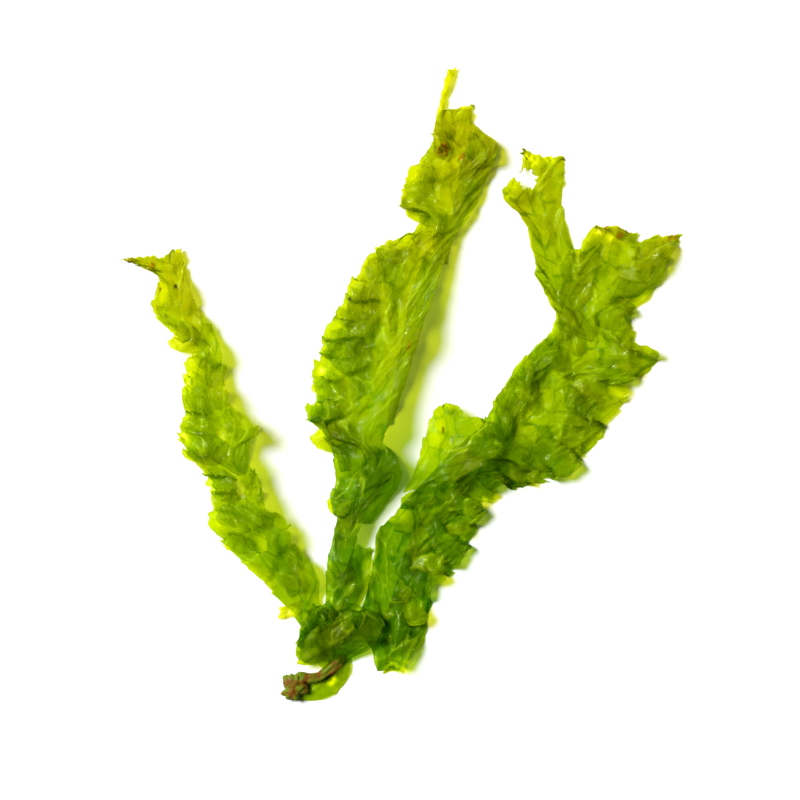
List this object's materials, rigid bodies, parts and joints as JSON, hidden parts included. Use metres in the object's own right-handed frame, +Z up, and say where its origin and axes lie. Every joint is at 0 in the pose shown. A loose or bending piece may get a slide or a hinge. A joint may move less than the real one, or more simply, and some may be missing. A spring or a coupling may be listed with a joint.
{
  "type": "sea lettuce",
  "caption": "Wet ruffled green seaweed with ribbon fronds growing from one small brown holdfast, laid flat to rest on a surface.",
  "frame": {"origin": "middle of the holdfast's flat underside, on the surface that the seaweed lies on", "axes": "+Z up from the surface, +Y from the holdfast along the fronds towards their tips, +X to the right seen from above"},
  "size_m": [0.1679, 0.1894, 0.0158],
  "materials": {
    "frond": "thin wet seaweed sheet, glossy and translucent, yellow-green where single and dark green where layers lie over each other",
    "holdfast": "tough wet brown plant tissue, partly green, satin"
  },
  "bodies": {
    "root": {"holdfast": "holdfast", "base_lobe": "frond", "base_fold": "frond", "left_frond": "frond", "middle_frond": "frond", "right_frond": "frond", "inner_fork": "frond", "outer_fork": "frond", "side_lobe": "frond"}
  },
  "joints": []
}
